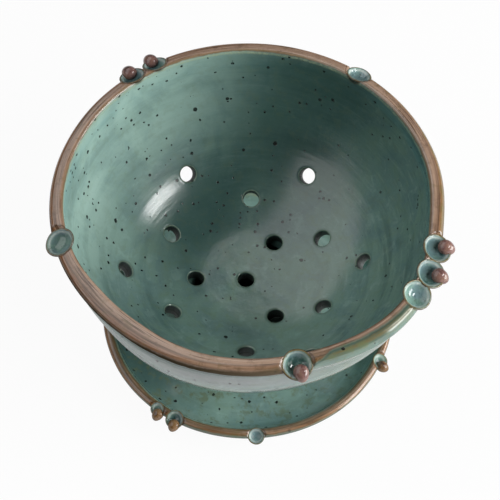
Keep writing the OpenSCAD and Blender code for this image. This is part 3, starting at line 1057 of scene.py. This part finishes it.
def drilled_floor(pot, holes, line, border_radius, turns, along_at):
    """Covers the drilled middle of a wall with triangles. Gives the border ring and each hole's loop."""
    s = sizes()
    run = distances(line)
    border_run = np.interp(border_radius, line[:, 0], run)

    def spot(where, turn):
        radius, height = np.interp(where, run, line[:, 0]), np.interp(where, run, line[:, 1])
        return np.stack([radius * np.cos(turn), radius * np.sin(turn), height], 1)

    border = pot.add(spot(np.full(len(turns), border_run), turns), along_at(border_run))
    ids, flat = [border], [unrolled(border_run, turns)]
    loops, centres = [], []
    for hole in holes:
        for k, (past_edge, edge) in enumerate(HOLE_RINGS):
            ring = hole.ring(s.hole_radius + s.hole_edge + past_edge, line)
            where = run[nearest(ring, line)[1]]
            ids.append(pot.add(ring, along_at(where), edge))
            flat.append(unrolled(where, turn_of(ring)))
            if k == 0:
                loops.append(ids[-1])
                centres.append(flat[-1].mean(0))
    grid = np.concatenate([unrolled(where, circle(max(6, int(2 * math.pi * where / FLOOR_GAP))) + where)
                           for where in np.arange(FLOOR_GAP, border_run - FLOOR_GAP * 0.6, FLOOR_GAP)])
    away = np.linalg.norm(grid[:, None, :] - np.array(centres)[None, :, :], axis=2).min(1)
    grid = grid[away > s.hole_radius + s.hole_edge + HOLE_CLEAR]
    ids.append(pot.add(spot(reach_of(grid), turn_of(grid)), along_at(reach_of(grid))))
    flat.append(grid)
    flat, ids = np.concatenate(flat), np.concatenate(ids)
    triangles = delaunay_2d_cdt([Vector(p) for p in flat], [], [], 0, 1e-7)[2]
    owner = {int(i): n for n, loop in enumerate(loops) for i in loop}
    for triangle in triangles:
        corners = tuple(int(ids[i]) for i in triangle)
        owners = {owner.get(corner) for corner in corners}
        if len(owners) > 1 or None in owners:
            pot.faces.append(corners)
    return border, loops


def row_gap(away, fine, near, widen, coarse):
    """Gap between rows of points: fine near the crest of the lip, wider further away."""
    return fine if away < near else min(coarse, fine + (away - near) * widen)


def wall_rows(run, start, stop, crest):
    """Rows of the bowl's wall, between its two drilled floors."""
    rows, here = [start], run[start]
    while True:
        here += row_gap(abs(here - crest), 0.42, 15, 0.15, 1.6)
        if here >= run[stop]:
            return rows + [stop]
        rows.append(int(np.searchsorted(run, here)))


def saucer_rows(run, crest):
    """Rows of the saucer, from near the middle of its floor to near the middle underneath."""
    margin = 1.5
    rows = [int(np.searchsorted(run, margin))]
    while True:
        here = run[rows[-1]]
        here += row_gap(abs(here - crest), 0.35, 8, 0.1, 1.5)
        if here >= run[-1] - margin:
            return rows
        rows.append(int(np.searchsorted(run, here)))


def join_hole(pot, hole, above, below, floor_line, under_line):
    """Rounds the two edges of a hole and joins them with its wall."""
    s = sizes()
    far_inside, far_outside = -90.0, 90.0
    tops, bottoms = [], []
    for angle in (22.5, 45.0, 67.5, 90.0):
        radius = s.hole_radius + s.hole_edge * (1 - math.sin(math.radians(angle)))
        deep = s.hole_edge * (1 - math.cos(math.radians(angle)))
        edge = 0.6 + angle / 90
        tops.append(pot.add(hole.ring(radius, floor_line) + deep * hole.down, far_inside, edge))
        bottoms.append(pot.add(hole.ring(radius, under_line) - deep * hole.down, far_outside, edge))
    chain = [above] + tops + bottoms[::-1] + [below]
    for a, b in zip(chain, chain[1:]):
        pot.strip(a, b)


def throw_bowl():
    """The drilled bowl as points, faces and painted numbers."""
    s = sizes()
    inner, lip, outer = bowl_curves()
    whole = np.concatenate([[[0, inner[0, 1]]], inner, lip, outer, [[0, outer[-1, 1]]]])
    whole = softened(whole, 0.1, 0.45)
    run = distances(whole)
    top = int(np.argmax(whole[:, 1]))
    crest = run[top]
    floor_line, under_line = whole[:top + 1][:-INNER_SPARE], whole[top:][::-1][:-OUTER_SPARE]
    turns = circle(POT_POINTS)
    mouth = s.bowl_radius - s.lip_width
    holes = [DrainHole(turn, mouth * share, inner) for turn, share in DRAIN_HOLES]
    pot = Pot()
    in_border, in_loops = drilled_floor(pot, holes, floor_line, DRILLED_TO, turns,
                                        lambda where: where - crest)
    out_border, out_loops = drilled_floor(pot, holes, under_line, DRILLED_TO + DRILLED_OUTSIDE, turns,
                                          lambda where: run[-1] - crest - where)
    first_run = np.interp(DRILLED_TO, floor_line[:, 0], distances(floor_line)) + FIRST_ROW
    under_run = np.interp(DRILLED_TO + DRILLED_OUTSIDE, under_line[:, 0], distances(under_line)) + FIRST_ROW
    start, stop = (int(np.argmin(np.abs(run - where))) for where in (first_run, run[-1] - under_run))
    rows = wall_rows(run, start, stop, crest)
    pot.rings(whole[rows], (run - crest)[rows], turns, first=in_border, last=out_border)
    for hole, above, below in zip(holes, in_loops, out_loops):
        join_hole(pot, hole, above, below, floor_line, under_line)
    return pot


# The steps


class POTTERY_OT_bowl(bpy.types.Operator):
    """Throw the drilled bowl with its rolled lip, and glaze it"""

    bl_idname = "pottery.bowl"
    bl_label = "Colander Bowl"

    def execute(self, context):
        pot = throw_bowl()
        paint = pot.paint()
        along = paint["along"]
        points = bowl_by_hand(pot.all_points(), along)
        points, paint["seat"] = press_cups(points, bowl_cup_places(), BOWL_CUP_BITE)
        turn = turn_of(points)
        green_side = np.clip(bump_at(turn, 308, 13) * 1.7, 0, 1)
        paint["brown_from"] = (-2.2 + 0.9 * bump_at(turn, 90, 40) - 1.0 * bump_at(turn, 226, 15)
                               + sway(turn, 7, 3, 12, 0.15))
        paint["brown_to"] = 9.8 - 8.9 * green_side + sway(turn, 8, 3, 12, 0.4)
        paint["groove"] = 0.25 + 0.75 * bump_at(turn, 230, 34)
        # Painted reflection: the outer wall under the front of the lip paler grey, where the table mirrors in
        # it
        paint["grey"] = bump_at(turn, 262, 30) * swell(along, 15, 6)
        # Painted shade: the inner wall darker at the back, on the right and low down, where light falls least
        paint["deep"] = patches(turn, along, PAINTED_SHADE_PATCHES)
        # Painted light: the inner wall paler at the upper left, on the left and low at the front, where the
        # lights fall most
        paint["pale"] = patches(turn, along, PAINTED_LIGHT_PATCHES)
        # Painted highlights on the lip at the front, the back and the right
        paint["rim_light"] = (bump_at(turn, 264, 14) + 0.8 * bump_at(turn, 74, 18)
                              + 0.8 * bump_at(turn, 30, 16) * swell(along, 1.5, 2.0))
        # Painted shade under the lip's roll, strongest at the front left and none on the green side
        paint["rim_under"] = (1 - green_side) * (0.4 + 0.6 * bump_at(turn, 232, 38))
        paint["rim_olive"] = np.clip(1.6 * bump_at(turn, 350, 36), 0, 1)
        paint["olive"] = green_side * np.clip((along + 4) / 3, 0, 1)
        paint["specks"] = 0.35 + 0.65 * bump_at(turn, 135, 50)
        material = make_pot_glaze("bowl_glaze", glazes().lip_pink, 2.2)
        make_object("colander_bowl_form", points, pot.faces, paint, material, "bowl_set",
                    "colander_bowl")
        return {"FINISHED"}


class POTTERY_OT_saucer(bpy.types.Operator):
    """Throw the saucer with its rolled rim and trimmed foot, and glaze it"""

    bl_idname = "pottery.saucer"
    bl_label = "Saucer"

    def execute(self, context):
        line = softened(saucer_line(), 0.1, 0.35)
        run = distances(line)
        crest = run[int(np.argmax(line[:, 1]))]
        rows = [0, *saucer_rows(run, crest), len(run) - 1]
        pot = closed_form(line[rows], (run - crest)[rows], POT_POINTS)
        paint = pot.paint()
        points = saucer_by_hand(pot.all_points())
        points, paint["seat"] = press_cups(points, saucer_cup_places(), SAUCER_CUP_BITE)
        turn = turn_of(points)
        none = np.zeros(len(turn))
        paint["brown_from"] = -1.5 + sway(turn, 17, 3, 12, 0.2)
        paint["brown_to"] = 2.8 - 1.0 * bump_at(turn, 262, 24) + sway(turn, 18, 3, 12, 0.3)
        paint["groove"], paint["grey"], paint["rim_under"] = none, none, none
        # Painted shade: the saucer's floor darker at the left
        paint["deep"] = bump_at(turn, 205, 28) * 0.9
        paint["pale"] = none + 0.35
        # Painted highlight on the saucer's rim at the right
        paint["rim_light"] = 0.3 * bump_at(turn, 300, 30)
        paint["rim_olive"] = 0.6 * bump_at(turn, 262, 50)
        paint["olive"] = 0.35 + 0.65 * bump_at(turn, 250, 50)
        paint["specks"] = 0.5 + 0.3 * bump_at(turn, 250, 50)
        material = make_pot_glaze("saucer_glaze", glazes().rim_gold, 0.7)
        make_object("saucer_form", points, pot.faces, paint, material, "saucer_set", "saucer")
        return {"FINISHED"}


class POTTERY_OT_cups(bpy.types.Operator):
    """Press the small cups into the lip of the bowl and the rim of the saucer"""

    bl_idname = "pottery.cups"
    bl_label = "Cups"

    def execute(self, context):
        material = make_cup_glaze()
        for kind, places, body, beads in (("bowl", bowl_cup_places(), "bowl_set", BOWL_BEADS),
                                          ("saucer", saucer_cup_places(), "saucer_set", SAUCER_BEADS)):
            with_bead = [cup for cup, _, _ in beads]
            for i, place in enumerate(places):
                # How much painted shade lies in a cup's hollow: more where a bead lies
                dark = 1.0 if i in with_bead else 0.15
                make_cup(f"{kind}_cup_{i + 1}", place, places[i + 1:i + 2], dark, 100 + i, material, body)
        return {"FINISHED"}


class POTTERY_OT_beads(bpy.types.Operator):
    """Lay the egg-shaped beads in their cups"""

    bl_idname = "pottery.beads"
    bl_label = "Beads"

    def execute(self, context):
        s = sizes()
        material = make_bead_glaze()
        places = bowl_cup_places()
        for k, (cup, turn, share) in enumerate(BOWL_BEADS):
            make_bead(f"bowl_bead_{k + 1}", places[cup], turn, share, s.bead_thickness, s.bead_length, 0.0,
                      200 + k, material, "bowl_set")
        places = saucer_cup_places()
        for k, (cup, turn, share) in enumerate(SAUCER_BEADS):
            make_bead(f"saucer_bead_{k + 1}", places[cup], turn, share, s.small_bead_thickness,
                      s.small_bead_length, 1.0, 220 + k, material, "saucer_set")
        return {"FINISHED"}


class POTTERY_OT_foot(bpy.types.Operator):
    """Trim the foot ring, lute it under the bowl and glaze it down to its bare base"""

    bl_idname = "pottery.foot"
    bl_label = "Foot Ring"

    def execute(self, context):
        line = even(foot_line(), 0.6)
        pot = Pot()
        first, last = pot.rings(line, line[:, 1] - SEAT, circle(FOOT_POINTS))
        pot.strip(last, first)
        points = pot.all_points()
        high = np.clip((points[:, 2] - SEAT) / 8, 0, 1)
        points[:, :2] *= (1 + sway(turn_of(points), 31, 2, 7, 0.003) * high)[:, None]
        make_object("foot_ring_form", points, pot.faces, pot.paint(), make_foot_glaze(), "bowl_set",
                    "bowl_foot_ring")
        return {"FINISHED"}


class POTTERY_OT_studio(bpy.types.Operator):
    """Set up the pale floor, the soft lights and the camera"""

    bl_idname = "pottery.studio"
    bl_label = "Studio"

    def execute(self, context):
        make_floor()
        make_world()
        for name in LIGHTS:
            make_light(name)
        make_camera()
        context.scene.view_settings.view_transform = "Standard"
        return {"FINISHED"}


def make_floor():
    """A pale floor that keeps the shadow, and that the camera and the glaze see as white."""
    r = NodeRecipe(bpy.data.materials.new("white_sweep"))
    ray = r.node("ShaderNodeLightPath", give="Is Camera Ray")
    mirrored, whitened = 0.12, 0.94
    seen = ray.most(ray.also("Is Transmission Ray")).most(ray.also("Is Glossy Ray") * mirrored)
    paper = r.node("ShaderNodeBsdfDiffuse", None, Color=PAPER)
    white = r.node("ShaderNodeEmission", None, Color=WHITE, Strength=1.0)
    material = r.finish(r.node("ShaderNodeMixShader", None, seen * whitened, paper, white))
    half = 3.0
    corners = [(-half, -half, 0), (half, -half, 0), (half, half, 0), (-half, half, 0)]
    mesh = bpy.data.meshes.new("studio_floor")
    mesh.from_pydata(corners, [], [(0, 1, 2, 3)])
    mesh.materials.append(material)
    floor = bpy.data.objects.new("studio_floor", mesh)
    bpy.context.scene.collection.objects.link(floor)
    floor.location.z = -0.2 * MM


def make_world():
    """Faint white light from all sides, and plain white where the camera sees past the floor."""
    world = bpy.data.worlds.new("white_studio")
    bpy.context.scene.world = world
    r = NodeRecipe(world)
    seen = r.node("ShaderNodeLightPath", give="Is Camera Ray")
    faint = r.node("ShaderNodeBackground", None, Color=WHITE, Strength=studio().fill_strength)
    white = r.node("ShaderNodeBackground", None, Color=WHITE, Strength=1.0)
    r.finish(r.node("ShaderNodeMixShader", None, seen, faint, white))


def make_light(name):
    """A soft box seen from the bowl at an azimuth and elevation, and turned about its middle."""
    azimuth, elevation, distance, width, height, roll, mirrored = LIGHTS[name]
    a, e = math.radians(azimuth), math.radians(elevation)
    way = Vector((math.cos(a) * math.cos(e), math.sin(a) * math.cos(e), math.sin(e)))
    data = bpy.data.lights.new(f"{name}_light", "AREA")
    data.shape = "RECTANGLE"
    data.size = width
    data.size_y = height
    data.energy = getattr(studio(), f"{name}_power")
    lamp = bpy.data.objects.new(f"{name}_light", data)
    bpy.context.scene.collection.objects.link(lamp)
    lamp.visible_glossy = mirrored
    lamp.location = LIGHTS_AIM + way * distance
    lamp.rotation_euler = (way.to_track_quat("Z", "Y") @ Quaternion((0, 0, 1), math.radians(roll))).to_euler()


def make_camera():
    """A camera in front of the bowl that looks down on it."""
    s = studio()
    tilt = s.camera_height
    data = bpy.data.cameras.new("camera")
    data.sensor_width = SENSOR_WIDTH
    data.lens = SENSOR_WIDTH * PIXELS_PER_MM / MM * s.camera_distance / PICTURE_PIXELS
    camera = bpy.data.objects.new("camera", data)
    bpy.context.scene.collection.objects.link(camera)
    camera.location = VIEW_MIDDLE + Vector((0, -math.cos(tilt), math.sin(tilt))) * s.camera_distance
    camera.rotation_euler = (math.pi / 2 - tilt, 0, 0)
    bpy.context.scene.camera = camera


class POTTERY_PT_colander(bpy.types.Panel):
    """Lists the steps in the order in which they are run, and the settings"""

    bl_label = "Berry Colander Bowl"
    bl_idname = "POTTERY_PT_colander"
    bl_space_type = "VIEW_3D"
    bl_region_type = "UI"
    bl_category = "Pottery"

    def draw(self, context):
        for step in STEPS:
            self.layout.operator(step.bl_idname)
        for name, group in GROUPS.items():
            box = self.layout.box()
            for key in group.__annotations__:
                box.prop(getattr(context.scene, name), key)


STEPS = [POTTERY_OT_bowl, POTTERY_OT_saucer, POTTERY_OT_cups, POTTERY_OT_beads, POTTERY_OT_foot,
         POTTERY_OT_studio]
GROUPS = {"colander_sizes": ColanderSizes, "colander_glazes": ColanderGlazes,
          "colander_studio": StudioSettings}


def register():
    for name, group in GROUPS.items():
        bpy.utils.register_class(group)
        setattr(bpy.types.Scene, name, PointerProperty(type=group))
    for step in STEPS:
        bpy.utils.register_class(step)
    bpy.utils.register_class(POTTERY_PT_colander)


def unregister():
    bpy.utils.unregister_class(POTTERY_PT_colander)
    for step in reversed(STEPS):
        bpy.utils.unregister_class(step)
    for name, group in GROUPS.items():
        delattr(bpy.types.Scene, name)
        bpy.utils.unregister_class(group)


def main():
    register()
    for step in STEPS:
        group, name = step.bl_idname.split(".")
        getattr(getattr(bpy.ops, group), name)()


if __name__ == "__main__":
    main()
